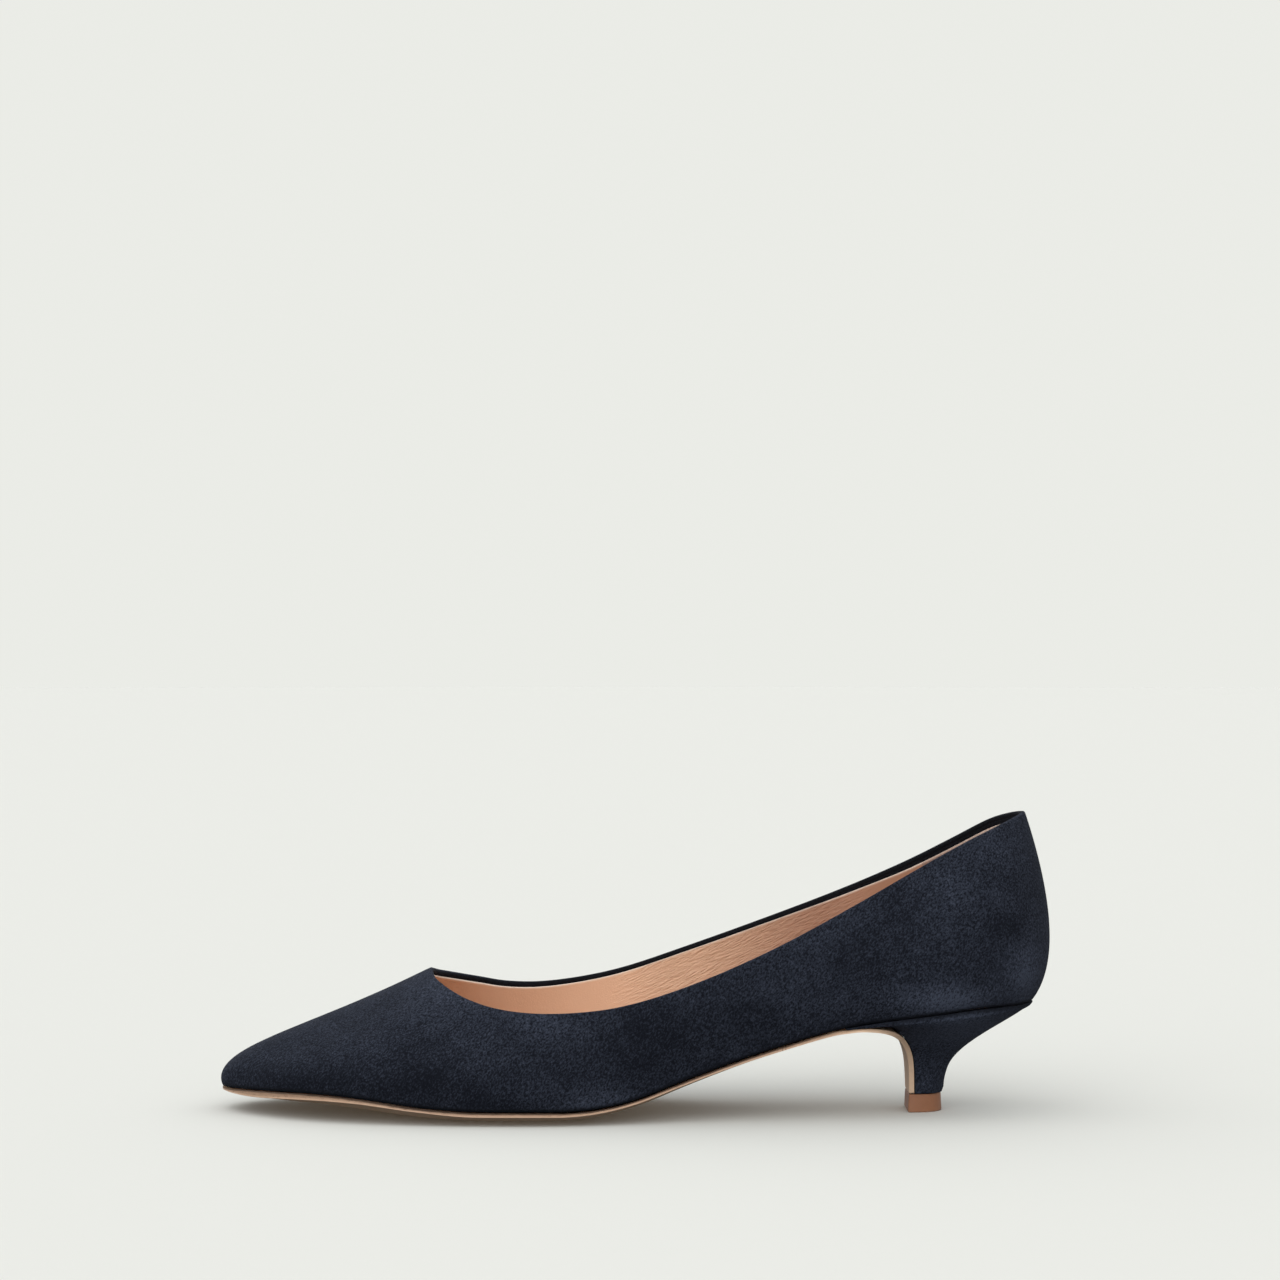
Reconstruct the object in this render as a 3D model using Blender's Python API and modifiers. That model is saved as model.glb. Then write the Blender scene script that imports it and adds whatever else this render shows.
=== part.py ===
"""Kitten heel pump, a left shoe: hollow suede upper, leather outsole with a breast flap,
covered heel, top piece and insole. Metres, +Z up, toe towards -X, outer side towards -Y.
The origin is on the floor under the middle of the shoe."""

import math
from collections import namedtuple

import bmesh
import bpy
import numpy as np

# Overall sizes of the last and the upper
SHOE_LENGTH = 0.2640
BALL_WIDTH = 0.0765
WAIST_WIDTH = 0.0560
SEAT_WIDTH = 0.0540
COLLAR_WIDTH = 0.0680
THROAT_RISE = 0.0400
COLLAR_RISE = 0.0605
UPPER_WALL = 0.0020
TOE_SPRING = 0.0046
HEEL_HEIGHT = 0.0345

# Outsole
SOLE_THICKNESS = 0.0030
WAIST_THICKNESS = 0.0016
EDGE_SKIVE = 0.0005
FLAP_THICKNESS = 0.0017
SOLE_CROWN = 0.0020
SOLE_MARGIN = 0.0003
EDGE_GROOVE = 0.00025
EDGE_GROOVE_LINES = (0.35, 0.65)

# Heel, top piece and insole
HEEL_DEPTH = 0.0400
LIP_LENGTH = 0.0213
HEEL_FOOT_OVERHANG = 0.0010
HEEL_ROUNDNESS = 2.6
TOP_PIECE_HEIGHT = 0.0057
TOP_PIECE_DEPTH = 0.0107
TOP_PIECE_WIDTH = 0.0148
TOP_PIECE_FLARE = 0.0003
TOP_PIECE_BEVEL = 0.0004
INSOLE_THICKNESS = 0.0022

# Clearance between pieces that meet
FIT = 0.0003

# How the upper leaves its topline: 0 runs straight to the feather line, more runs outwards
TOPLINE_SPREAD = 0.25

# How finely the curves are cut. The tip shares say how far inside a pointed end its first
# station lies, in steps between stations.
STEPS_BETWEEN_SECTIONS = 3
STEPS_DOWN_WALL = 12
SOLE_TOE_STATIONS = 10
SOLE_STATIONS = 20
INSOLE_STATIONS = 30
SOLE_TIP_SHARE = 0.25
INSOLE_TIP_SHARE = 0.35
HEEL_SIDE_STEPS = 9
LEVEL_STEPS = 2

# Height of the last along the shoe, one row for each station.
# along: share of the length from the toe. spring and heel: shares of the toe spring and of the
# height of the tread at the seat. crown: share of the lift of the sole's edge over its middle.
# waist: 0 where the sole has its full thickness, 1 where it has the waist's, more is thinner.
Station = namedtuple("Station", "along spring heel crown waist")
STATIONS = [
    Station(0.000, 1.29, 0.000, 0.00, 1.33),
    Station(0.053, 0.98, 0.000, 0.30, 0.10),
    Station(0.102, 0.94, 0.000, 0.55, 0.00),
    Station(0.152, 0.80, 0.000, 0.70, 0.00),
    Station(0.197, 0.54, 0.000, 0.75, 0.05),
    Station(0.242, 0.22, 0.000, 0.75, 0.15),
    Station(0.284, 0.06, 0.000, 0.80, 0.30),
    Station(0.311, 0.00, 0.000, 0.85, 0.40),
    Station(0.424, 0.00, 0.000, 1.00, 0.72),
    Station(0.455, 0.00, 0.030, 0.95, 0.85),
    Station(0.500, 0.00, 0.116, 0.80, 0.95),
    Station(0.549, 0.00, 0.272, 0.65, 1.00),
    Station(0.595, 0.00, 0.416, 0.50, 1.00),
    Station(0.642, 0.00, 0.555, 0.35, 1.00),
    Station(0.689, 0.00, 0.682, 0.15, 1.00),
    Station(0.735, 0.00, 0.802, 0.00, 1.00),
    Station(0.773, 0.00, 0.864, 0.00, 1.00),
    Station(0.814, 0.00, 0.906, 0.00, 1.00),
    Station(0.867, 0.00, 0.957, 0.00, 1.00),
    Station(0.920, 0.00, 0.995, 0.00, 1.00),
    Station(0.980, 0.00, 1.000, 0.00, 1.00),
    Station(1.000, 0.00, 1.000, 0.00, 1.00),
]

# Sections of the upper, one row for each, round the shoe from the toe along the outer side to
# the back and home along the inner side. Each runs down from the topline to the feather line.
# foot: the feather line, as a share of the length and of half the named width.
# top: the topline, as a share of the length and of half the collar's width.
# rise: height of the topline over the feather line, as a share of the named rise.
# fall: degrees below level at the topline. lean: degrees out from upright at the feather line.
# fall_pull and lean_pull: how far each of these holds, as shares of the distance between them.
Section = namedtuple(
    "Section",
    "foot_along foot_width foot_out top_along top_out rise_of rise fall fall_pull lean lean_pull",
)
SECTIONS = [
    Section(0.0015, "ball", 0.092, 0.2553, 0.045, "throat", 1.000, 27, 0.58, 25, 0.172),
    Section(0.0092, "ball", -0.120, 0.2568, -0.147, "throat", 0.990, 28, 0.57, 25, 0.172),
    Section(0.0379, "ball", -0.345, 0.2614, -0.303, "throat", 0.960, 30, 0.54, 13, 0.165),
    Section(0.0890, "ball", -0.608, 0.2705, -0.456, "throat", 0.930, 34, 0.515, 13, 0.19),
    Section(0.1553, "ball", -0.812, 0.2841, -0.597, "throat", 0.890, 38, 0.49, 12, 0.24),
    Section(0.2311, "ball", -0.928, 0.3068, -0.753, "throat", 0.836, 48, 0.46, 12, 0.29),
    Section(0.3106, "ball", -0.985, 0.3447, -0.900, "throat", 0.776, 60, 0.42, 12, 0.33),
    Section(0.3902, "ball", -0.990, 0.4015, -0.975, "throat", 0.751, 69, 0.40, 12, 0.36),
    Section(0.4773, "ball", -0.931, 0.4811, -0.988, "collar", 0.498, 76, 0.40, 11, 0.37),
    Section(0.5682, "waist", -1.093, 0.5682, -0.941, "collar", 0.481, 81, 0.40, 11, 0.36),
    Section(0.6629, "waist", -1.000, 0.6629, -0.868, "collar", 0.516, 80, 0.40, 14, 0.33),
    Section(0.7576, "seat", -1.007, 0.7538, -0.779, "collar", 0.612, 76, 0.38, 20, 0.32),
    Section(0.8447, "seat", -0.993, 0.8333, -0.690, "collar", 0.759, 72, 0.36, 26, 0.30),
    Section(0.9072, "seat", -0.867, 0.8939, -0.570, "collar", 0.868, 70, 0.35, 34, 0.29),
    Section(0.9560, "seat", -0.535, 0.9394, -0.380, "collar", 0.945, 70, 0.35, 38, 0.28),
    Section(0.9802, "seat", 0.000, 0.9720, 0.000, "collar", 1.000, 71, 0.35, 40, 0.28),
    Section(0.9560, "seat", 0.525, 0.9394, 0.370, "collar", 0.959, 70, 0.35, 38, 0.28),
    Section(0.9072, "seat", 0.840, 0.8939, 0.545, "collar", 0.859, 71, 0.35, 34, 0.29),
    Section(0.8409, "seat", 0.950, 0.8333, 0.645, "collar", 0.750, 75, 0.36, 26, 0.30),
    Section(0.7500, "seat", 0.890, 0.7538, 0.735, "collar", 0.643, 82, 0.38, 20, 0.32),
    Section(0.6515, "waist", 0.800, 0.6591, 0.824, "collar", 0.597, 88, 0.40, 15, 0.33),
    Section(0.5568, "waist", 0.871, 0.5644, 0.882, "collar", 0.588, 88, 0.40, 13, 0.36),
    Section(0.4659, "ball", 0.774, 0.4773, 0.929, "collar", 0.588, 82, 0.40, 12, 0.37),
    Section(0.3788, "ball", 0.915, 0.3977, 0.959, "throat", 0.836, 72, 0.40, 12, 0.36),
    Section(0.3030, "ball", 0.993, 0.3447, 0.912, "throat", 0.836, 62, 0.42, 12, 0.33),
    Section(0.2311, "ball", 0.968, 0.3106, 0.818, "throat", 0.880, 50, 0.46, 12, 0.29),
    Section(0.1553, "ball", 0.870, 0.2879, 0.691, "throat", 0.911, 39, 0.49, 12, 0.24),
    Section(0.0890, "ball", 0.700, 0.2727, 0.559, "throat", 0.935, 34, 0.51, 13, 0.19),
    Section(0.0379, "ball", 0.500, 0.2621, 0.412, "throat", 0.956, 30, 0.54, 13, 0.165),
    Section(0.0092, "ball", 0.300, 0.2564, 0.235, "throat", 0.981, 28, 0.57, 25, 0.172),
]

# The sole's turn into the breast flap, and the heel behind it, one row for each level.
# ahead: how far the flap's outer face stands ahead of the breast, as a share of the lip's
# length. lip: how thick the heel is there from its seat to the flap, as a share of its height.
# depth: share of the flap's thickness. back: how far down the back of the heel. wide: share of
# the seat's width. turned: 0 where the heel has the seat's outline, 1 where it has its foot's.
Level = namedtuple("Level", "ahead lip depth back wide turned")
LEVELS = [
    Level(0.965, 0.0107, 0.54, 0.03, 1.000, 0.00),
    Level(0.765, 0.0199, 0.57, 0.09, 0.990, 0.04),
    Level(0.470, 0.0539, 0.72, 0.20, 0.940, 0.15),
    Level(0.258, 0.1136, 0.88, 0.34, 0.790, 0.35),
    Level(0.122, 0.2105, 0.95, 0.48, 0.590, 0.60),
    Level(0.042, 0.3302, 1.00, 0.62, 0.430, 0.80),
    Level(0.010, 0.4657, 1.00, 0.78, 0.330, 1.00),
]
HEEL_BACK_TOP_PULL = (-0.245, -0.24)
HEEL_BACK_FOOT_PULL = (-0.162, 0.46)

# Distance across the sole, as shares of half its width, where its underside is cut
FLAT_SHARE = 0.55
SOLE_CUTS = [-1.0, -0.90, -0.775, -FLAT_SHARE, 0.0, FLAT_SHARE, 0.775, 0.90, 1.0]


def along(share):
    """X of a share of the length from the toe."""
    return (share - 0.5) * SHOE_LENGTH


def smooth_curve(xs, ys, x):
    """Curve through the points of a table that never swings past them."""
    xs = np.asarray(xs, float)
    ys = np.asarray(ys, float)
    widths = np.diff(xs)
    slopes = np.diff(ys) / widths
    tangents = np.zeros(len(xs))
    tangents[0] = slopes[0]
    tangents[-1] = slopes[-1]
    for i in range(1, len(xs) - 1):
        if slopes[i - 1] * slopes[i] > 0:
            before = 2 * widths[i] + widths[i - 1]
            after = widths[i] + 2 * widths[i - 1]
            tangents[i] = (before + after) / (before / slopes[i - 1] + after / slopes[i])
    x = np.clip(x, xs[0], xs[-1])
    i = np.clip(np.searchsorted(xs, x) - 1, 0, len(xs) - 2)
    t = (x - xs[i]) / widths[i]
    return (
        (1 + 2 * t) * (1 - t) ** 2 * ys[i]
        + t * (1 - t) ** 2 * widths[i] * tangents[i]
        + t**2 * (3 - 2 * t) * ys[i + 1]
        + t**2 * (t - 1) * widths[i] * tangents[i + 1]
    )


def round_loop(values, steps):
    """Points of a closed smooth loop through the rows of a table."""
    values = np.asarray(values, float)
    before = np.roll(values, 1, axis=0)
    after = np.roll(values, -1, axis=0)
    beyond = np.roll(values, -2, axis=0)
    points = []
    for i in range(len(values)):
        for step in range(steps):
            t = step / steps
            points.append(
                values[i]
                + 0.5 * t * (after[i] - before[i])
                + 0.5 * t**2 * (2 * before[i] - 5 * values[i] + 4 * after[i] - beyond[i])
                + 0.5 * t**3 * (3 * values[i] - before[i] - 3 * after[i] + beyond[i])
            )
    return np.array(points)


def open_path(values, steps):
    """Points of a smooth open path through the rows of a table, ends included."""
    values = np.asarray(values, float)
    padded = np.vstack([2 * values[0] - values[1], values, 2 * values[-1] - values[-2]])
    points = []
    for i in range(1, len(padded) - 2):
        before, here, after, beyond = padded[i - 1 : i + 3]
        for step in range(steps):
            t = step / steps
            points.append(
                here
                + 0.5 * t * (after - before)
                + 0.5 * t**2 * (2 * before - 5 * here + 4 * after - beyond)
                + 0.5 * t**3 * (3 * here - before - 3 * after + beyond)
            )
    points.append(values[-1])
    return np.array(points)


def bezier(start, first, second, end, t):
    """Point of a cubic curve with two handles."""
    return (
        (1 - t) ** 3 * start
        + 3 * t * (1 - t) ** 2 * first
        + 3 * t**2 * (1 - t) * second
        + t**3 * end
    )


def station_value(x, column):
    xs = [along(row.along) for row in STATIONS]
    return smooth_curve(xs, [getattr(row, column) for row in STATIONS], x)


def sole_depth(x):
    """Thickness of the sole at a place along the shoe."""
    waist = station_value(x, "waist")
    return SOLE_THICKNESS * (1 - waist) + WAIST_THICKNESS * waist


def tread_height(x):
    """Height of the middle of the sole's underside."""
    seat_tread = HEEL_HEIGHT - WAIST_THICKNESS
    return TOE_SPRING * station_value(x, "spring") + seat_tread * station_value(x, "heel")


def edge_share(cut):
    """0 on the flat middle of the sole and 1 at its edge, for a share of half its width."""
    return (max(0.0, abs(cut) - FLAT_SHARE) / (1 - FLAT_SHARE)) ** 2


def crown_lift(cut, crown):
    """How far the sole stands over its flat middle at a share of half its width."""
    return SOLE_CROWN * crown * edge_share(cut)


def feather_height(x):
    """Height of the upper's lower edge."""
    crown = SOLE_CROWN * station_value(x, "crown")
    return tread_height(x) + crown + sole_depth(x) + FIT


def section_loops():
    """The feather line and the topline as closed loops, with the slopes of the wall between."""
    widths = {"ball": BALL_WIDTH, "waist": WAIST_WIDTH, "seat": SEAT_WIDTH}
    rises = {"throat": THROAT_RISE, "collar": COLLAR_RISE}
    rows = []
    for row in SECTIONS:
        top_x = along(row.top_along)
        rows.append(
            [
                along(row.foot_along),
                row.foot_out * widths[row.foot_width] / 2,
                top_x,
                row.top_out * COLLAR_WIDTH / 2,
                feather_height(top_x) + row.rise * rises[row.rise_of],
                math.radians(row.fall),
                row.fall_pull,
                math.radians(row.lean),
                row.lean_pull,
            ]
        )
    return round_loop(rows, STEPS_BETWEEN_SECTIONS)


LOOPS = section_loops()


def side_lines(loop):
    """The outer and inner side of a closed plan outline, each running from toe to back."""
    toe = int(np.argmin(loop[:, 0]))
    loop = np.roll(loop, -toe, axis=0)
    back = int(np.argmax(loop[:, 0]))
    inner = np.vstack([loop[back:], loop[:1]])[::-1]
    return {-1: loop[: back + 1], 1: inner}


def outward(points):
    """Level directions that point out of a closed loop in plan."""
    ahead = np.roll(points, -1, axis=0) - np.roll(points, 1, axis=0)
    normals = np.column_stack([ahead[:, 1], -ahead[:, 0]])
    middle = points.mean(axis=0)
    if ((points - middle) * normals).sum() < 0:
        normals = -normals
    return normals / np.linalg.norm(normals, axis=1)[:, None]


SEAT_BACK = LOOPS[:, 0].max()
BREAST_X = SEAT_BACK - HEEL_DEPTH
HEEL_LIP_X = BREAST_X - LIP_LENGTH
FEATHER_SIDES = side_lines(LOOPS[:, 0:2])
INSOLE_LOOP = LOOPS[:, 0:2] - (UPPER_WALL + FIT) * outward(LOOPS[:, 0:2])
INSOLE_SIDES = side_lines(INSOLE_LOOP)


def edge_y(x, side, sides=None):
    """Y of the feather line, or of another outline, on the outer (-1) or inner (+1) side."""
    line = (sides or FEATHER_SIDES)[side]
    return float(np.interp(x, line[:, 0], line[:, 1]))


def across(x, share, sides=None):
    """Y at a share of the way from the middle (0) to the outer (-1) or inner (+1) edge."""
    outer = edge_y(x, -1, sides)
    inner = edge_y(x, 1, sides)
    return (outer + inner) / 2 + share * (inner - outer) / 2


def new_material(name, colour, roughness):
    material = bpy.data.materials.new(name)
    material.use_nodes = True
    shader = material.node_tree.nodes["Principled BSDF"]
    shader.inputs["Base Color"].default_value = (*colour, 1)
    shader.inputs["Roughness"].default_value = roughness
    shader.inputs["Metallic"].default_value = 0
    material.diffuse_color = (*colour, 1)
    return material


def face_outwards(bm):
    """Turns all faces to point away from the shoe's middle plane, on closed and open skins."""
    bmesh.ops.recalc_face_normals(bm, faces=bm.faces)
    spread = sum(
        face.calc_area() * face.normal.y * face.calc_center_median().y for face in bm.faces
    )
    if spread < 0:
        bmesh.ops.reverse_faces(bm, faces=bm.faces)


def new_object(name, bm, material, sharp_angle=40):
    """Turns a bmesh into a smooth-shaded object of the shoe."""
    face_outwards(bm)
    mesh = bpy.data.meshes.new(name)
    bm.to_mesh(mesh)
    bm.free()
    mesh.shade_smooth()
    mesh.set_sharp_from_angle(angle=math.radians(sharp_angle))
    mesh.materials.append(material)
    obj = bpy.data.objects.new(name, mesh)
    shoe_parts.objects.link(obj)
    obj.parent = shoe_root
    return obj


def loft(rings, closed=True):
    """Bmesh of quads between rings of equally many points, without caps."""
    bm = bmesh.new()
    rows = [[bm.verts.new(point) for point in ring] for ring in rings]
    count = len(rows[0])
    for upper, lower in zip(rows, rows[1:]):
        for i in range(count if closed else count - 1):
            j = (i + 1) % count
            bm.faces.new((upper[i], upper[j], lower[j], lower[i]))
    return bm, rows


def cap_across(bm, ring):
    """Closes a ring with quads between its two sides. The ring runs down one side and back."""
    last = len(ring) - 1
    for i in range(len(ring) // 2):
        corners = [ring[i], ring[i + 1], ring[last - i - 1], ring[last - i]]
        corners = list(dict.fromkeys(corners))
        if len(corners) > 2:
            bm.faces.new(corners)


def make_upper():
    """Open skin from the topline to the feather line, thickened inwards to the wall."""
    feet = LOOPS[:, 0:2]
    tops = LOOPS[:, 2:4]
    foot_out = outward(feet)
    top_out = outward(tops)
    rings = []
    for step in range(STEPS_DOWN_WALL + 1):
        t = step / STEPS_DOWN_WALL
        ring = []
        for i, (_, _, _, _, top_z, fall, fall_pull, lean, lean_pull) in enumerate(LOOPS):
            foot = np.array([*feet[i], feather_height(feet[i][0])])
            top = np.array([*tops[i], top_z])
            span = np.linalg.norm(top - foot)
            run = feet[i] - tops[i] + TOPLINE_SPREAD * COLLAR_WIDTH * top_out[i]
            run = run / np.linalg.norm(run)
            down = np.array([*(run * math.cos(fall)), -math.sin(fall)])
            rise = np.array([*(foot_out[i] * math.sin(lean)), math.cos(lean)])
            first = top + fall_pull * span * down
            second = foot + lean_pull * span * rise
            ring.append(bezier(top, first, second, foot, t))
        rings.append(ring)
    bm, _ = loft(rings)
    upper = new_object("upper", bm, new_material("navy_suede", (0.021, 0.026, 0.042), 0.95))
    wall = upper.modifiers.new("wall", "SOLIDIFY")
    wall.thickness = UPPER_WALL
    wall.offset = -1
    wall.use_even_offset = True
    wall.use_rim = True


def seat_height(x):
    """Height of the heel's upper face, which carries the upper."""
    return feather_height(x) - FIT


def breast_path():
    """Outer face of the flap in side view: rows of x, z, depth of the flap, back share, width
    share and how far the heel has turned round, from the lip down to the top piece."""
    rows = []
    for row in LEVELS:
        x = BREAST_X - row.ahead * LIP_LENGTH
        depth = FLAP_THICKNESS * row.depth
        z = seat_height(x) - row.lip * HEEL_HEIGHT - FIT - depth
        rows.append([x, z, depth, row.back, row.wide, row.turned])
    foot_width = TOP_PIECE_WIDTH / SEAT_WIDTH
    rows.append([BREAST_X, TOP_PIECE_HEIGHT + FIT, FLAP_THICKNESS, 1.0, foot_width, 1.0])
    return open_path(rows, LEVEL_STEPS)


def heel_half(x, side, wide, turned):
    """Y of the heel's or the flap's edge: the seat's outline, narrowed and made even."""
    return wide * ((1 - turned) * edge_y(x, side) + turned * side * SEAT_WIDTH / 2)


def path_normals(points):
    """Directions at right angles to a path in side view, towards the heel."""
    ahead = np.gradient(points, axis=0)
    normals = np.column_stack([-ahead[:, 1], ahead[:, 0]])
    return normals / np.linalg.norm(normals, axis=1)[:, None]


def sole_path():
    """The whole sole from toe to flap: rows of x, z of its underside, crown share, thickness
    in the middle, how much thinner its edge is, and y of its two edges."""
    tip = LOOPS[:, 0].min()
    rounded = BALL_WIDTH / 2
    places = []
    for step in range(SOLE_TOE_STATIONS):
        angle = math.pi / 2 * (step + SOLE_TIP_SHARE) / SOLE_TOE_STATIONS
        places.append(tip + rounded * (1 - math.cos(angle)))
    turn = HEEL_LIP_X - SEAT_WIDTH / SOLE_STATIONS
    for step in range(SOLE_STATIONS):
        places.append(tip + rounded + (turn - tip - rounded) * step / (SOLE_STATIONS - 1))
    path = []
    for x in places:
        skive = EDGE_SKIVE * station_value(x, "waist")
        crown = station_value(x, "crown")
        sides = (across(x, -1), across(x, 1))
        path.append([x, tread_height(x), crown, sole_depth(x), skive, *sides])
    for x, z, depth, _, wide, turned in breast_path():
        sides = (heel_half(x, -1, wide, turned), heel_half(x, 1, wide, turned))
        path.append([x, z, 0.0, depth, 0.0, *sides])
    return np.array(path, float)


def make_outsole():
    """Sole lofted through cross-sections, from the toe to the foot of the breast flap."""
    path = sole_path()
    normals = path_normals(path[:, 0:2])
    rings = []
    for (x, z, crown, depth, skive, outer, inner), normal in zip(path, normals):
        middle = (outer + inner) / 2
        half = (inner - outer) / 2 + SOLE_MARGIN
        under = []
        over = []
        for cut in SOLE_CUTS:
            y = middle + cut * half
            lift = crown_lift(cut, crown)
            thinned = skive * edge_share(cut)
            under.append((x + normal[0] * (lift + thinned), y, z + normal[1] * (lift + thinned)))
            over.append((x + normal[0] * (lift + depth), y, z + normal[1] * (lift + depth)))
        grooves = []
        for low, high, side in ((under[-1], over[-1], 1), (over[0], under[0], -1)):
            for part in EDGE_GROOVE_LINES:
                point = np.array(low) * (1 - part) + np.array(high) * part
                point[1] -= side * EDGE_GROOVE
                grooves.append(point)
        rings.append(under + grooves[:2] + over[::-1] + grooves[2:])
    bm, rows = loft(rings)
    cuts = len(SOLE_CUTS)
    for row in (rows[0], rows[-1]):
        cap_across(bm, row[:cuts] + row[cuts + 2 : 2 * cuts + 2])
        bm.faces.new(row[cuts - 1 : cuts + 3])
        bm.faces.new([*row[2 * cuts + 1 :], row[0]])
    new_object("outsole", bm, new_material("tan_leather", (0.42, 0.28, 0.17), 0.55))


def rounded_plan():
    """Round end of the heel's foot: shares of its depth and of its half width, from in front."""
    plan = []
    for step in range(HEEL_SIDE_STEPS):
        share = math.sin(math.pi / 2 * step / HEEL_SIDE_STEPS)
        plan.append((share, math.sqrt(1 - share**HEEL_ROUNDNESS)))
    return plan


def heel_outline(front, back, wide, turned):
    """Closed outline of the heel at one level: outer side from breast to back, then home."""
    sides = {-1: [], 1: []}
    for share, half in rounded_plan():
        seat_x = front[0] + (SEAT_BACK - front[0]) * share
        rounded = half * SEAT_WIDTH / 2
        point = front + (back - front) * share
        for side in sides:
            y = wide * ((1 - turned) * edge_y(seat_x, side) + turned * side * rounded)
            sides[side].append([point[0], y, point[1]])
    return sides[-1] + [[back[0], 0.0, back[1]]] + sides[1][::-1]


def make_heel():
    """Covered heel: seat on top, thin lip over the sole in front, slanting back, small foot."""
    top_back = np.array([SEAT_BACK, seat_height(SEAT_BACK)])
    foot_z = TOP_PIECE_HEIGHT + FIT
    foot_back = np.array([BREAST_X + TOP_PIECE_DEPTH + HEEL_FOOT_OVERHANG, foot_z])
    span = top_back - foot_back
    first = top_back + np.array(HEEL_BACK_TOP_PULL) * span
    second = foot_back + np.array(HEEL_BACK_FOOT_PULL) * span
    seat = heel_outline(np.array([HEEL_LIP_X, 0.0]), top_back, 1.0, 0.0)
    for point in seat:
        point[2] = seat_height(point[0])
    rings = [seat]
    path = breast_path()
    normals = path_normals(path[:, 0:2])
    for (x, z, depth, down, wide, turned), normal in zip(path, normals):
        front = np.array([x, z]) + normal * (depth + FIT)
        front[1] = max(front[1], foot_z)
        back = bezier(top_back, first, second, foot_back, down)
        rings.append(heel_outline(front, back, wide, turned))
    bm, rows = loft(rings)
    cap_across(bm, rows[0])
    cap_across(bm, rows[-1])
    new_object("heel", bm, new_material("navy_suede_cover", (0.019, 0.023, 0.038), 0.95))


def make_top_piece():
    """Hard lift under the heel and the end of the flap, round behind and straight in front."""
    half_plan = [(x * TOP_PIECE_DEPTH, y * TOP_PIECE_WIDTH / 2) for x, y in rounded_plan()]
    outline = [(x, -y) for x, y in half_plan] + [(TOP_PIECE_DEPTH, 0.0)] + half_plan[::-1]
    outline = np.array(outline)
    spread = outline + TOP_PIECE_FLARE * outward(outline)
    rings = [
        [(x, y, TOP_PIECE_HEIGHT) for x, y in outline],
        [(x, y, 0.0) for x, y in spread],
    ]
    bm, rows = loft(rings)
    bm.faces.new(rows[0])
    bm.faces.new(rows[1])
    material = new_material("brown_rubber", (0.22, 0.10, 0.055), 0.5)
    top_piece = new_object("top_piece", bm, material)
    top_piece.location.x = BREAST_X
    rounding = top_piece.modifiers.new("rounding", "BEVEL")
    rounding.width = TOP_PIECE_BEVEL
    rounding.segments = 2
    rounding.limit_method = "ANGLE"
    rounding.angle_limit = math.radians(60)


def make_insole():
    """Insole inside the upper, lying on the sole and on the heel's seat."""
    start = INSOLE_LOOP[:, 0].min()
    length = INSOLE_LOOP[:, 0].max() - start
    rings = []
    for step in range(INSOLE_STATIONS + 1):
        share = (step + INSOLE_TIP_SHARE) / (INSOLE_STATIONS + 2 * INSOLE_TIP_SHARE)
        x = start + length * (1 - math.cos(math.pi * share)) / 2
        crown = station_value(x, "crown")
        floor = feather_height(x) - SOLE_CROWN * crown
        ring = [
            (x, across(x, cut, INSOLE_SIDES), floor + crown_lift(cut, crown))
            for cut in SOLE_CUTS
        ]
        ring += [(x, y, z + INSOLE_THICKNESS) for x, y, z in ring[::-1]]
        rings.append(ring)
    bm, rows = loft(rings)
    cap_across(bm, rows[0])
    cap_across(bm, rows[-1])
    new_object("insole", bm, new_material("sock_leather", (0.52, 0.33, 0.21), 0.6))


for old in list(bpy.data.objects):
    bpy.data.objects.remove(old, do_unlink=True)
shoe_parts = bpy.data.collections.new("kitten_heel_pump")
bpy.context.scene.collection.children.link(shoe_parts)
shoe_root = bpy.data.objects.new("shoe", None)
shoe_parts.objects.link(shoe_root)

make_upper()
make_outsole()
make_heel()
make_top_piece()
make_insole()
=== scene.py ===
"""Finish of a navy suede kitten heel pump, a left shoe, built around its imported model.
Metres, toe towards -X, outer side towards -Y, floor at Z = 0."""

import math

import bmesh
import bpy
import numpy as np
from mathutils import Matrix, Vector
from mathutils.kdtree import KDTree


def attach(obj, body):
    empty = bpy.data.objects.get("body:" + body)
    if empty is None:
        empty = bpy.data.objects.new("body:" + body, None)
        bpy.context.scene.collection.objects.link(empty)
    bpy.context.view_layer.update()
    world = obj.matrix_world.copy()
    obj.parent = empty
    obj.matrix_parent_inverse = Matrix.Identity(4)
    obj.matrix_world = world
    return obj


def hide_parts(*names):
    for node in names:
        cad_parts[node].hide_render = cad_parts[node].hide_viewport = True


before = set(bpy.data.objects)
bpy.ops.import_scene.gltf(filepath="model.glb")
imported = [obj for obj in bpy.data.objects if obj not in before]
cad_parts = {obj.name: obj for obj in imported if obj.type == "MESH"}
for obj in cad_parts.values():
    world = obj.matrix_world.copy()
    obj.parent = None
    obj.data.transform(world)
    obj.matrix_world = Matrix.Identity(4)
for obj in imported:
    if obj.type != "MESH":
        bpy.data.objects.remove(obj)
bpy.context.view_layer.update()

# Upper
# Navy suede over a thin stiffener, cut in one piece, lasted round the insole and closed by a
# seam at the back. Its upper edge is folded over to the inside and glued above the lining.
MM = 0.001
MERGE = 1e-6
SHARP = math.radians(50)
SMOOTH_BELOW = math.radians(60)
SMOOTHING_LEVELS = 2
FOLD_ROUNDING = 0.0008
FOLD_SEGMENTS = 3


def select_only(piece):
    """Selects one piece and makes it the active one."""
    bpy.ops.object.select_all(action="DESELECT")
    bpy.context.view_layer.objects.active = piece
    piece.select_set(True)


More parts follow.
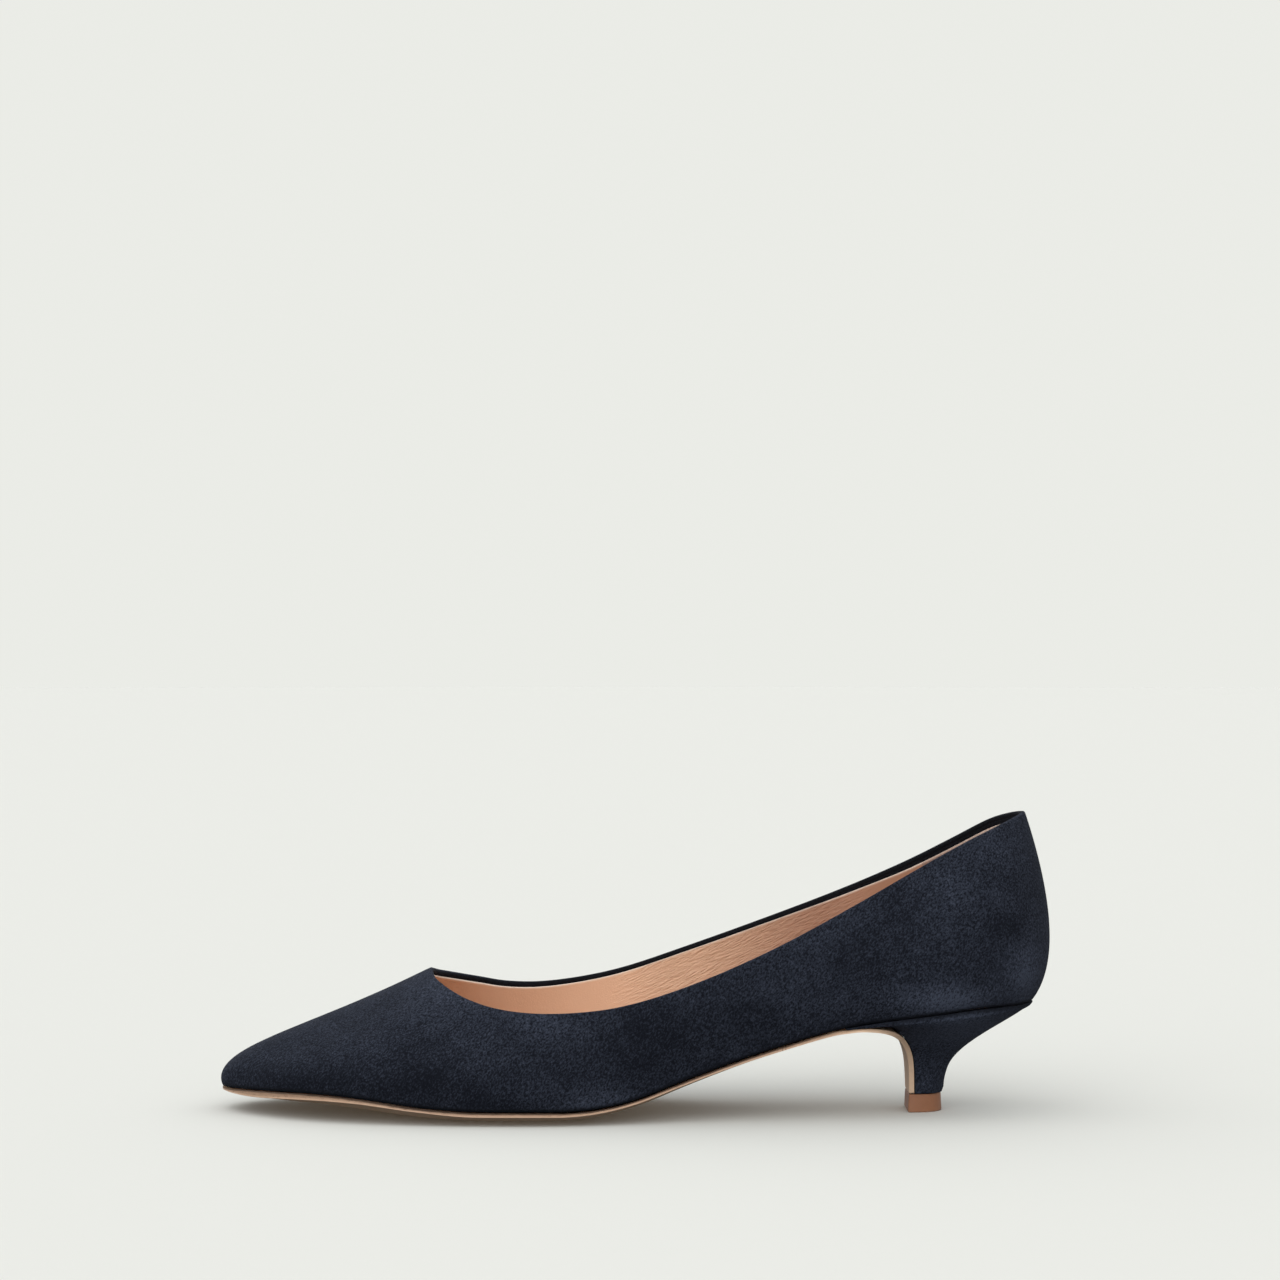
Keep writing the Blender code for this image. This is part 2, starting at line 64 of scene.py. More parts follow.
def quad_copy(node, name):
    """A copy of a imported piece, its loose triangles merged back into quads."""
    piece = bpy.data.objects.new(name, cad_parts[node].data.copy())
    bpy.context.scene.collection.objects.link(piece)
    select_only(piece)
    bpy.ops.mesh.customdata_custom_splitnormals_clear()
    piece.data.materials.clear()
    bpy.ops.object.mode_set(mode="EDIT")
    bpy.ops.mesh.select_all(action="SELECT")
    bpy.ops.mesh.remove_doubles(threshold=MERGE)
    bpy.ops.mesh.tris_convert_to_quads(
        face_threshold=math.pi, shape_threshold=math.pi, topology_influence=2
    )
    bpy.ops.mesh.select_all(action="SELECT")
    bpy.ops.mesh.mark_sharp(clear=True)
    bpy.ops.object.mode_set(mode="OBJECT")
    return piece


def round_edges(piece, sharpness, width, segments=2):
    """Bevels the edges that turn by more than an angle."""
    select_only(piece)
    bpy.ops.object.mode_set(mode="EDIT")
    bpy.ops.mesh.select_mode(type="EDGE")
    bpy.ops.mesh.select_all(action="DESELECT")
    bpy.ops.mesh.edges_select_sharp(sharpness=sharpness)
    bpy.ops.mesh.bevel(offset=width, segments=segments, affect="EDGES", clamp_overlap=True)
    bpy.ops.object.mode_set(mode="OBJECT")


def apply_modifier(piece, kind, **settings):
    """Adds a modifier with its settings and applies it."""
    select_only(piece)
    modifier = piece.modifiers.new(kind.lower(), kind)
    for key, value in settings.items():
        setattr(modifier, key, value)
    bpy.ops.object.modifier_apply(modifier=modifier.name)


def subdivide(piece):
    """Rounds a piece over its coarse faces."""
    levels = SMOOTHING_LEVELS
    apply_modifier(piece, "SUBSURF", levels=levels, render_levels=levels)


def smooth_shading(piece):
    """Shades all but the sharp edges of a piece smoothly."""
    select_only(piece)
    bpy.ops.object.shade_smooth_by_angle(angle=SMOOTH_BELOW)


def points_and_normals(piece):
    """The places of a piece's points and the way each faces, one row for each."""
    mesh = piece.data
    points = np.empty(len(mesh.vertices) * 3)
    normals = np.empty(len(mesh.vertices) * 3)
    mesh.vertices.foreach_get("co", points)
    mesh.vertices.foreach_get("normal", normals)
    return points.reshape(-1, 3), normals.reshape(-1, 3)


def move_points(piece, points):
    """Gives a piece's points new places."""
    piece.data.vertices.foreach_set("co", points.ravel())
    piece.data.update()


def store(piece, name, values):
    """Keeps one number for each point of a piece, for its material to read."""
    attribute = piece.data.attributes.new(name, "FLOAT", "POINT")
    attribute.data.foreach_set("value", np.asarray(values, np.float32))


def regions(piece):
    """The faces, and the points, of a piece in groups that sharp edges part, largest first."""
    bm = bmesh.new()
    bm.from_mesh(piece.data)
    bm.faces.ensure_lookup_table()
    groups = []
    seen = set()
    for start in bm.faces:
        if start.index in seen:
            continue
        seen.add(start.index)
        group = [start]
        for face in group:
            for edge in face.edges:
                if len(edge.link_faces) != 2 or edge.calc_face_angle() > SHARP:
                    continue
                for other in edge.link_faces:
                    if other.index not in seen:
                        seen.add(other.index)
                        group.append(other)
        groups.append((sum(face.calc_area() for face in group), [f.index for f in group]))
    groups.sort(reverse=True)
    vertices = [
        sorted({v.index for i in group for v in bm.faces[i].verts}) for _, group in groups
    ]
    bm.free()
    return [group for _, group in groups], vertices


def search_tree(targets):
    """A tree in which the nearest of many places is soon found."""
    tree = KDTree(len(targets))
    for i, target in enumerate(targets):
        tree.insert(target, i)
    tree.balance()
    return tree


def nearest_distance(points, targets):
    """Distance of each point to the nearest of many targets."""
    tree = search_tree(targets)
    return np.array([tree.find(point)[2] for point in points])


def fine_line(targets, neighbours=6, steps=12):
    """A line of unordered points near one another, filled in between close neighbours."""
    tree = search_tree(targets)
    filled = []
    for target in targets:
        for near, _, _ in tree.find_n(target, neighbours):
            for step in range(steps):
                filled.append(Vector(target).lerp(near, step / steps))
    return filled


def nearest_on_line(places, start, end):
    """How far along a line it passes nearest to each of many places, and where."""
    a = np.array(start, float) * MM
    b = np.array(end, float) * MM
    share = np.clip(((places - a) @ (b - a)) / ((b - a) @ (b - a)), 0, 1)
    return share, a + share[:, None] * (b - a)


shell = quad_copy("upper", "shell")
_, shell_vertices = regions(shell)
shell_points, _ = points_and_normals(shell)
OUTER_WALL, INNER_WALL, RIM_A, RIM_B = range(4)
rims = [shell_points[shell_vertices[i]] for i in (RIM_A, RIM_B)]
top_rim, foot_rim = sorted(rims, key=lambda rim: -rim[:, 2].mean())
topline = fine_line([Vector(p) for p in top_rim])
feather = fine_line([Vector(p) for p in foot_rim])
outer_wall = shell_points[shell_vertices[OUTER_WALL]]
inner_wall = shell_points[shell_vertices[INNER_WALL]]
bpy.data.objects.remove(shell)

upper = quad_copy("upper", "upper_suede")
round_edges(upper, SHARP, FOLD_ROUNDING, FOLD_SEGMENTS)
subdivide(upper)
upper_points, upper_normals = points_and_normals(upper)

# Soft troughs (below 0) and ridges in millimetres: side (-1 outer, 1 inner), start and end in
# x and z, half width, height.
CREASES = [
    (-1, (96, 62), (108, 46), 6.0, -0.30),
    (-1, (112, 58), (118, 44), 4.0, 0.20),
    (-1, (52, 46), (66, 40), 6.0, -0.25),
    (-1, (60, 33), (96, 37), 5.0, 0.30),
    (-1, (10, 22), (26, 12), 7.0, -0.25),
    (-1, (-70, 30), (-58, 18), 8.0, 0.20),
    (-1, (-84, 10), (-66, 8), 5.0, -0.20),
    (1, (92, 60), (106, 44), 6.0, -0.30),
    (1, (48, 48), (64, 38), 6.0, -0.25),
    (1, (58, 34), (92, 38), 5.0, 0.30),
    (1, (8, 24), (24, 14), 7.0, -0.25),
    (1, (-72, 28), (-60, 16), 8.0, 0.20),
]
FACING_SIDE = 0.2
shift = np.zeros(len(upper_points))
side_view = upper_points[:, [0, 2]]
for side, start, end, half_width, height in CREASES:
    _, middle = nearest_on_line(side_view, start, end)
    away = np.linalg.norm(side_view - middle, axis=1) / (half_width * MM)
    on_side = np.sign(upper_points[:, 1]) == side
    on_side &= upper_normals[:, 1] * side > FACING_SIDE
    shift += np.where(on_side, height * MM * np.exp(-(away**2)), 0)
BACK_SEAM_RIDGE = 0.00012
BACK_SEAM_WIDTH = 0.0016
BACK_SEAM_FROM = 0.11
FACING_BACK = 0.3
at_back = (upper_points[:, 0] > BACK_SEAM_FROM) & (upper_normals[:, 0] > FACING_BACK)
seam_ridge = BACK_SEAM_RIDGE * np.exp(-((upper_points[:, 1] / BACK_SEAM_WIDTH) ** 2))
shift += np.where(at_back, seam_ridge, 0)
move_points(upper, upper_points + upper_normals * shift[:, None])
to_outer = nearest_distance(upper_points, outer_wall)
to_inner = nearest_distance(upper_points, inner_wall)
store(upper, "from_topline", nearest_distance(upper_points, topline))
store(upper, "from_feather", nearest_distance(upper_points, feather))
store(upper, "inside", np.where(to_inner < to_outer, 1.0, 0.0))
smooth_shading(upper)


class Value:
    """A socket of a material on which the usual signs add maths nodes."""

    def __init__(self, finish, socket):
        self.finish = finish
        self.socket = socket

    def maths(self, operation, *others):
        """One Math node on this socket and others."""
        sockets = {i: value for i, value in enumerate((self, *others))}
        return self.finish.node("ShaderNodeMath", sockets, operation=operation)

    def __add__(self, other):
        return self.maths("ADD", other)

    def __sub__(self, other):
        return self.maths("SUBTRACT", other)

    def __rsub__(self, other):
        return (self * -1.0) + other

    def __mul__(self, other):
        return self.maths("MULTIPLY", other)

    def __truediv__(self, other):
        return self.maths("DIVIDE", other)

    __radd__ = __add__
    __rmul__ = __mul__

    def clamp(self):
        """The same number, kept between 0 and 1."""
        return self.maths("MAXIMUM", 0.0).maths("MINIMUM", 1.0)

    def bell(self, middle, width):
        """1 at the middle, falling away to 0 over about twice the width."""
        offset = (self - middle) / width
        return (offset * offset * -1.0).maths("EXPONENT")

    def rise(self, low, high):
        """0 below the first value and 1 above the second, with a smooth step between."""
        sockets = {0: self, 1: low, 2: high, 3: 0.0, 4: 1.0}
        return self.finish.node("ShaderNodeMapRange", sockets, interpolation_type="SMOOTHSTEP")


class Finish:
    """A material and the nodes that make it."""

    # Sockets of a Mix node that is set to colours.
    MIX_SHARE, MIX_FIRST, MIX_SECOND, MIX_RESULT = 0, 6, 7, 2

    def __init__(self, name, roughness, **even):
        self.material = bpy.data.materials.new(name)
        self.material.use_nodes = True
        self.tree = self.material.node_tree
        self.shader = self.tree.nodes["Principled BSDF"]
        self.shader.inputs["Roughness"].default_value = roughness
        for socket, value in even.items():
            self.shader.inputs[socket.replace("_", " ")].default_value = value
        self.place = self.node("ShaderNodeTexCoord", output="Object")

    def node(self, kind, sockets=None, output=0, **settings):
        """Adds a node: its settings first, then the values or links of its sockets."""
        made = self.tree.nodes.new(kind)
        for key, value in settings.items():
            setattr(made, key, value)
        for key, value in (sockets or {}).items():
            if isinstance(value, Value):
                self.tree.links.new(value.socket, made.inputs[key])
            else:
                made.inputs[key].default_value = value
        return Value(self, made.outputs[output])

    def axes(self):
        """X, Y and Z of the place on the shoe, in millimetres."""
        split = self.node("ShaderNodeSeparateXYZ", {0: self.place})
        parts = split.socket.node.outputs
        return [Value(self, part) / MM for part in parts]

    def noise(self, size, detail=2.0, roughness=0.5, stretch=(1, 1, 1), turn=(0, 0, 0)):
        """Even noise about 0 whose spots are about as large as the size, in millimetres."""
        sockets = {"Vector": self.place, "Rotation": turn}
        sockets["Scale"] = tuple(size * s * MM for s in stretch)
        where = self.node("ShaderNodeMapping", sockets, vector_type="TEXTURE")
        sockets = {"Vector": where, "Scale": 1.0, "Detail": detail, "Roughness": roughness}
        return self.node("ShaderNodeTexNoise", sockets) - 0.5

    def attribute(self, name):
        """A number that is stored on the piece."""
        return self.node("ShaderNodeAttribute", output="Fac", attribute_name=name)

    def distance(self, name):
        """A stored distance, in millimetres."""
        return self.attribute(name) / MM

    def mix(self, share, first, second):
        """A colour between two, by a share."""
        sockets = {self.MIX_SHARE: share}
        for key, colour in ((self.MIX_FIRST, first), (self.MIX_SECOND, second)):
            sockets[key] = colour if isinstance(colour, Value) else (*colour, 1)
        return self.node("ShaderNodeMix", sockets, output=self.MIX_RESULT, data_type="RGBA")

    def bump(self, height, distance, strength):
        """A relief of the surface, as a normal."""
        sockets = {"Height": height, "Distance": distance, "Strength": strength}
        return self.node("ShaderNodeBump", sockets)

    def feed(self, socket, value):
        """Links a value to a socket of the shader."""
        self.tree.links.new(value.socket, self.shader.inputs[socket])


# Lighter and darker spots on the suede, in millimetres: x, z, half length, half height, how much
# lighter (below 0 darker). Some are the nap's brushing; the rest are painted light and painted
# shade.
NAP_AND_PAINTED_LIGHT_SPOTS = [
    (-92, 26, 26, 11, -0.03),
    (-62, 44, 14, 12, 0.17),
    (-44, 40, 16, 8, 0.19),
    (-30, 31, 12, 5, 0.18),
    (-9, 7, 9, 6, 0.60),
    (5, 22, 18, 13, -0.18),
    (28, 33, 16, 5, -0.05),
    (53, 58, 10, 6, 0.14),
    (40, 46, 12, 8, 0.09),
    (70, 52, 8, 9, -0.15),
    (84, 63, 5, 10, -0.13),
    (98, 72, 13, 16, 0.20),
    (98, 37, 13, 4.5, 0.90),
    (82, 41, 18, 5, 0.15),
    (116, 60, 7, 5, -0.30),
    (122, 44, 7, 9, 0.64),
    (112, 86, 9, 6, 0.20),
    (-70, 12, 24, 6, -0.17),
    (-108, 12, 16, 5, -0.30),
    (-42, 6, 14, 4, -0.14),
]
SUEDE_DARK = (0.0060, 0.0076, 0.0128)
SUEDE_LIGHT = (0.0697, 0.0834, 0.1203)
SUEDE_CONTRAST = 0.715
INNER_SIDE_CALMER = 0.7


def suede(name, brushed_and_painted_light, tone):
    """Nap with lighter and darker spots over cloudy and fine mottling.

    The spots, partly the nap's brushing one way and partly painted light and painted shade, lie
    on the outer side and fade towards the inner one. The fine nap shows more where the suede is
    light."""
    finish = Finish(
        name,
        0.92,
        Sheen_Weight=0.03,
        Sheen_Roughness=0.45,
        Sheen_Tint=(0.62, 0.72, 1.0, 1),
        Specular_IOR_Level=0.12,
    )
    x, y, z = finish.axes()
    outer_side = 1.0 - y.rise(-16.0, 2.0) * INNER_SIDE_CALMER
    clouds = finish.noise(26, 3, 0.55, (1.5, 1.2, 1.0), (0, 0.5, 0))
    mottling = finish.noise(5.5, 4, 0.6, (1.3, 1.3, 1.0), (0, -0.6, 0))
    nap = finish.noise(0.5, 3, 0.75, (1.0, 1.0, 1.6), (0, 0.55, 0))
    share = clouds * 0.56 + mottling * 0.44 + tone
    for spot_x, spot_z, half_length, half_height, lift in brushed_and_painted_light:
        spot = x.bell(spot_x, half_length) * z.bell(spot_z, half_height)
        share = share + spot * outer_side * lift
    share = share + nap * (share * 3.5 + 2.3)
    colour = finish.mix((share * SUEDE_CONTRAST).clamp(), SUEDE_DARK, SUEDE_LIGHT)
    return finish, colour, mottling, nap


UPPER_TONE = 0.262
SUEDE_PAINTED_SEAM_SHADE = (0.004, 0.005, 0.008)
SUEDE_INSIDE_PAINTED_SHADE = (0.0045, 0.0046, 0.0055)
NAP_HEIGHT = 0.00030
upper_finish, nap_colour, nap_mottling, nap_grain = suede("navy_suede_nap", NAP_AND_PAINTED_LIGHT_SPOTS, UPPER_TONE)
inside = upper_finish.attribute("inside")
# Painted shade: the suede is darkened towards the feather line, where the upper meets the sole.
painted_feather_shade = (1.0 - upper_finish.distance("from_feather").rise(0.5, 1.9)) * 0.88
nap_colour = upper_finish.mix(painted_feather_shade, nap_colour, SUEDE_PAINTED_SEAM_SHADE)
# Painted shade: the suede on the inside of the wall, the folded-in band above the lining, is
# darkened almost to black.
nap_colour = upper_finish.mix(inside * 0.85, nap_colour, SUEDE_INSIDE_PAINTED_SHADE)
upper_finish.feed("Base Color", nap_colour)
back_x, back_y, _ = upper_finish.axes()
seam_groove = back_y.bell(0.0, 0.28) * back_x.rise(108.0, 112.0)
fold_line = upper_finish.distance("from_topline").bell(1.35, 0.16) * inside
relief = nap_grain + nap_mottling * 0.5 - seam_groove * 1.4 - fold_line * 1.2
upper_finish.feed("Normal", upper_finish.bump(relief, NAP_HEIGHT, 0.9))
upper.data.materials.append(upper_finish.material)
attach(upper, "root")
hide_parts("upper")

# Lining
# Tan calf that lines the forepart and the quarters, skived thin and glued inside the upper just
# under the folded edge. Foot movement has left it with fine slanting wrinkles at the waist.
LINING_THICKNESS = 0.0006
LINING_EDGE_ROUNDING = 0.00026
LINING_GAP = 0.00004
# How far the lining's edge lies below the topline, by x.
LINING_DROP = [
    (-0.070, 0.0013),
    (-0.030, 0.0014),
    (0.050, 0.0018),
    (0.076, 0.0022),
    (0.090, 0.0027),
    (0.104, 0.0028),
    (0.130, 0.0029),
]
LINING_END = (0.0932, 0.0768)
LINING_END_TILT = 0.69
WRINKLE_WAVE = 0.0005
WRINKLE_BENDS = 7
# Fine wrinkles in millimetres: start and end in x and z, half width, height.
WRINKLES = [
    (8, 21, 16, 25, 1.1, 0.16),
    (14, 22, 24, 28, 1.2, 0.20),
    (19, 23, 31, 31, 1.2, 0.22),
    (24, 24, 36, 32, 1.3, 0.24),
    (28, 27, 42, 37, 1.2, 0.22),
    (33, 28, 47, 38, 1.3, 0.26),
    (38, 31, 51, 41, 1.2, 0.22),
    (42, 32, 57, 44, 1.3, 0.24),
    (47, 36, 60, 47, 1.2, 0.20),
    (53, 39, 67, 50, 1.3, 0.20),
    (60, 43, 73, 53, 1.2, 0.16),
    (36, 38, 46, 44, 1.4, 0.16),
    (48, 45, 58, 51, 1.4, 0.16),
    (64, 52, 76, 58, 1.4, 0.14),
]


def inner_sheet(name):
    """The inner side of the upper's wall as an open sheet that starts under the folded edge,
    and the line of that edge."""
    piece = quad_copy("upper", name)
    faces, _ = regions(piece)
    keep = set(faces[INNER_WALL])
    bm = bmesh.new()
    bm.from_mesh(piece.data)
    bmesh.ops.delete(bm, geom=[f for f in bm.faces if f.index not in keep], context="FACES")
    edge_points = {v for e in bm.edges if e.is_boundary for v in e.verts}
    start = max(edge_points, key=lambda v: v.co.z)
    top = [start]
    taken = {start}
    for vertex in top:
        for edge in vertex.link_edges:
            other = edge.other_vert(vertex)
            if edge.is_boundary and other not in taken:
                taken.add(other)
                top.append(other)
    drops = [list(column) for column in zip(*LINING_DROP)]
    for vertex in top:
        below = [e.other_vert(vertex) for e in vertex.link_edges if not e.is_boundary]
        down = min(below, key=lambda v: v.co.z).co - vertex.co
        vertex.co += down.normalized() * float(np.interp(vertex.co.x, *drops))
    edge_line = fine_line([vertex.co.copy() for vertex in top])
    bm.to_mesh(piece.data)
    bm.free()
    return piece, edge_line


def cut_away(piece, place, tilt, keep_front):
    """Cuts a sheet along a slanting line and leaves its front or its back."""
    select_only(piece)
    bpy.ops.object.mode_set(mode="EDIT")
    bpy.ops.mesh.select_all(action="SELECT")
    bpy.ops.mesh.bisect(
        plane_co=(place[0], 0, place[1]),
        plane_no=(math.cos(tilt), 0, math.sin(tilt)),
        clear_outer=keep_front,
        clear_inner=not keep_front,
    )
    bpy.ops.object.mode_set(mode="OBJECT")


def wrinkle(piece, rows):
    """Raises fine wrinkles on both sides of the sheet."""
    points, normals = points_and_normals(piece)
    side_view = points[:, [0, 2]]
    height = np.zeros(len(points))
    for x1, z1, x2, z2, half_width, lift in rows:
        share, middle = nearest_on_line(side_view, (x1, z1), (x2, z2))
        middle[:, 1] += WRINKLE_WAVE * np.sin(share * WRINKLE_BENDS + x1)
        away = np.linalg.norm(side_view - middle, axis=1) / (half_width * MM)
        height = np.maximum(height, lift * MM * np.exp(-(away**2)))
    move_points(piece, points + normals * height[:, None])


def lift_off_wall(piece):
    """Keeps a sheet from lying in the face of the wall behind it."""
    points, normals = points_and_normals(piece)
    move_points(piece, points + normals * LINING_GAP)


lining, lining_edge = inner_sheet("lining")
subdivide(lining)
cut_away(lining, LINING_END, LINING_END_TILT, keep_front=True)
lift_off_wall(lining)
wrinkle(lining, WRINKLES)
sheet = {"thickness": LINING_THICKNESS, "offset": 1, "use_even_offset": False}
apply_modifier(lining, "SOLIDIFY", **sheet)
round_edges(lining, SHARP, LINING_EDGE_ROUNDING)
smooth_shading(lining)
lining_points, _ = points_and_normals(lining)
store(lining, "from_edge", nearest_distance(lining_points, lining_edge))

# Painted light and painted shade of one calf: the lining is painted lighter towards the front
# and darker towards the back, where it lies deeper in the shoe.
CALF_FRONT_PAINTED_LIGHT = [(0.82, 0.495, 0.315), (0.94, 0.610, 0.410)]
CALF_BACK_PAINTED_SHADE = [(0.49, 0.255, 0.155), (0.60, 0.335, 0.220)]
LINING_EDGE_AND_HIGHLIGHT = (0.98, 0.84, 0.72)
WRINKLE_SLANT = (0, -0.48, 0)
calf = Finish(
    "tan_lining_calf",
    0.46,
    Specular_IOR_Level=0.4,
    Coat_Weight=0.05,
    Coat_Roughness=0.35,
)
x, _, _ = calf.axes()
tint = calf.noise(14, 3, 0.5) * 0.5 + calf.noise(1.1, 2, 0.6) * 0.28 + 0.5
calf_front_painted_light = calf.mix(tint.clamp(), *CALF_FRONT_PAINTED_LIGHT)
calf_back_painted_shade = calf.mix(tint.clamp(), *CALF_BACK_PAINTED_SHADE)
calf_colour = calf.mix(x.rise(8.0, 60.0), calf_front_painted_light, calf_back_painted_shade)
# Partly the lighter cut edge of the calf, partly a painted highlight where the rounded edge
# catches the light.
cut_edge_and_highlight = 1.0 - calf.distance("from_edge").rise(0.35, 1.0)
calf_colour = calf.mix(cut_edge_and_highlight * 0.85, calf_colour, LINING_EDGE_AND_HIGHLIGHT)
calf.feed("Base Color", calf_colour)
pores = calf.noise(0.5, 2, 0.6)
lines = calf.noise(0.62, 3, 0.6, (6.0, 6.0, 0.9), WRINKLE_SLANT)
creased = x.rise(-12.0, 14.0) * (1.0 - x.rise(52.0, 84.0))
relief = pores * 0.35 + lines * (creased * 5.5 + 0.25)
calf.feed("Normal", calf.bump(relief, 0.00035, 0.8))
lining.data.materials.append(calf.material)
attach(lining, "root")

# Heel grip
# Reversed calf with its rough side out, glued round the inside of the counter so that the heel
# does not slip. The lining's end laps over its front edge.
GRIP_THICKNESS = 0.00035
GRIP_LAP = 0.003
heel_grip, grip_edge = inner_sheet("heel_grip")
subdivide(heel_grip)
grip_start = (LINING_END[0] - GRIP_LAP, LINING_END[1])
cut_away(heel_grip, grip_start, LINING_END_TILT, keep_front=False)
lift_off_wall(heel_grip)
apply_modifier(heel_grip, "SOLIDIFY", thickness=GRIP_THICKNESS, offset=1)
smooth_shading(heel_grip)
grip_points, _ = points_and_normals(heel_grip)
store(heel_grip, "from_edge", nearest_distance(grip_points, grip_edge))
ROUGH_CALF = [(0.30, 0.19, 0.145), (0.48, 0.32, 0.255)]
GRIP_EDGE_AND_HIGHLIGHT = (0.92, 0.74, 0.62)
rough_calf = Finish("heel_grip_rough_calf", 0.9, Sheen_Weight=0.2, Specular_IOR_Level=0.15)
tint = rough_calf.noise(4, 3, 0.6) * 0.7 + rough_calf.noise(0.6, 2, 0.7) * 0.8 + 0.5
rough_colour = rough_calf.mix(tint.clamp(), *ROUGH_CALF)
# Partly the lighter cut edge of the calf, partly a painted highlight along the grip's top edge.
cut_edge_and_highlight = 1.0 - rough_calf.distance("from_edge").rise(0.3, 0.9)
rough_colour = rough_calf.mix(cut_edge_and_highlight * 0.8, rough_colour, GRIP_EDGE_AND_HIGHLIGHT)
rough_calf.feed("Base Color", rough_colour)
rough_calf.feed("Normal", rough_calf.bump(rough_calf.noise(0.5, 3, 0.7), 0.0003, 0.8))
heel_grip.data.materials.append(rough_calf.material)
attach(heel_grip, "root")

# Insole and sock
# Fibre board that the upper is lasted round, with a soft tan leather sock glued over it from toe
# to heel. Wear has pressed the sock a little darker under the ball and the heel of the foot.
SOCK_ARRIS = math.radians(40)
SOCK_ROUNDING = 0.0006
sock = quad_copy("insole", "sock")
round_edges(sock, SOCK_ARRIS, SOCK_ROUNDING)
subdivide(sock)
smooth_shading(sock)
SOCK_TAN = [(0.46, 0.265, 0.165), (0.60, 0.375, 0.25)]
SOCK_PRESSED = (0.34, 0.19, 0.12)
sock_leather = Finish("sock_leather_soft", 0.55, Specular_IOR_Level=0.35)
x, y, _ = sock_leather.axes()
tint = sock_leather.noise(18, 3, 0.5) * 0.6 + sock_leather.noise(0.9, 2, 0.6) * 0.3 + 0.5
sock_colour = sock_leather.mix(tint.clamp(), *SOCK_TAN)
under_ball = x.bell(-34.0, 20.0) * y.bell(1.0, 20.0)
under_heel = x.bell(100.0, 14.0) * y.bell(0.0, 14.0)
pressed = (under_ball + under_heel) * 0.14
sock_leather.feed("Base Color", sock_leather.mix(pressed, sock_colour, SOCK_PRESSED))
relief = sock_leather.noise(0.55, 2, 0.6) * 0.5 + sock_leather.noise(5, 3, 0.5) * 0.5
sock_leather.feed("Normal", sock_leather.bump(relief, 0.00025, 0.6))
sock.data.materials.append(sock_leather.material)
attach(sock, "root")
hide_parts("insole")

# Outsole
# Thin oak-tanned leather sole, cemented on. Its edge is trimmed with a shallow groove, waxed
# and left tan; behind the arch it turns down the breast of the heel as a flap.
EDGE_ROUNDING = 0.00015
SOLE_ARRIS = math.radians(48)
outsole = quad_copy("outsole", "leather_sole")
bm = bmesh.new()
bm.from_mesh(outsole.data)
bm.verts.ensure_lookup_table()
SIDE_FACING = 0.55
TOE_SPREAD_X = -0.110
side_faces = {
    face
    for face in bm.faces
    if abs(face.normal.y) > SIDE_FACING
    or (face.calc_center_median().x < TOE_SPREAD_X and abs(face.normal.z) < SIDE_FACING)
}
on_edge = np.zeros(len(bm.verts))
in_groove = np.zeros(len(bm.verts))
for vertex in bm.verts:
    near = [face in side_faces for face in vertex.link_faces]
    on_edge[vertex.index] = any(near)
    in_groove[vertex.index] = all(near)
bm.free()
store(outsole, "on_edge", on_edge)
store(outsole, "in_groove", in_groove)
round_edges(outsole, SOLE_ARRIS, EDGE_ROUNDING, segments=1)
subdivide(outsole)
outsole_points, _ = points_and_normals(outsole)

# How far the lower edge of the sole is rounded up, by x, full at this depth below the feather
# line and fading inwards.
EDGE_LIFT_DEPTH = 0.003
EDGE_LIFT_REACH = 0.005
EDGE_LIFT = [
    (-0.128, 0.0006),
    (-0.113, 0.0011),
    (-0.100, 0.0014),
    (-0.085, 0.0018),
    (-0.065, 0.0018),
    (-0.052, 0.0013),
    (-0.035, 0.0011),
    (-0.018, 0.0008),
    (0.000, 0.0005),
    (0.030, 0.0003),
    (0.060, 0.0),
]
lift_places, lifts = zip(*EDGE_LIFT)
plan_tree = search_tree([(target[0], target[1], 0.0) for target in feather])
for point in outsole_points:
    _, i, inward = plan_tree.find((point[0], point[1], 0.0))
    depth = np.clip((feather[i][2] - point[2]) / EDGE_LIFT_DEPTH, 0, 1)
    lift = float(np.interp(point[0], lift_places, lifts))
    point[2] += lift * depth * math.exp(-((inward / EDGE_LIFT_REACH) ** 2))
move_points(outsole, outsole_points)
store(outsole, "from_feather", nearest_distance(outsole_points, feather))
smooth_shading(outsole)
OAK_TREAD = [(0.52, 0.335, 0.20), (0.68, 0.465, 0.30)]
OAK_EDGE = [(0.47, 0.30, 0.195), (0.70, 0.475, 0.325)]
OAK_GROOVE = (0.20, 0.115, 0.07)
OAK_PAINTED_FEATHER_SHADE = (0.050, 0.030, 0.024)
OAK_NICK = (0.10, 0.06, 0.045)
OAK_FLAP_PAINTED_LIGHT = (0.95, 0.70, 0.49)
OAK_SCUFF = (0.20, 0.125, 0.08)
oak = Finish("oak_tanned_leather", 0.5, Specular_IOR_Level=0.35)
x, _, _ = oak.axes()
edge = oak.attribute("on_edge")
groove = oak.attribute("in_groove")
fibres = oak.noise(0.9, 3, 0.65, (5, 1, 1))
flecks = oak.noise(0.55, 2, 0.7, (2.2, 1, 1)).rise(0.04, 0.22)
cloud = oak.noise(12, 3, 0.55)
tread_colour = oak.mix((cloud * 0.9 + fibres * 0.5 + 0.5).clamp(), *OAK_TREAD)
edge_colour = oak.mix((fibres * 1.1 + 0.55).clamp(), *OAK_EDGE)
forepart = 1.0 - x.rise(-72.0, -46.0)
# The groove is darker, more so on the forepart and where it is flecked, and not along the flap.
groove_darkening = forepart * 0.20 + 0.16 + flecks * (forepart * 0.35 + 0.10)
groove_darkening = groove.rise(0.25, 0.9) * groove_darkening * (1.0 - x.rise(62.0, 74.0))
edge_colour = oak.mix(groove_darkening.clamp(), edge_colour, OAK_GROOVE)
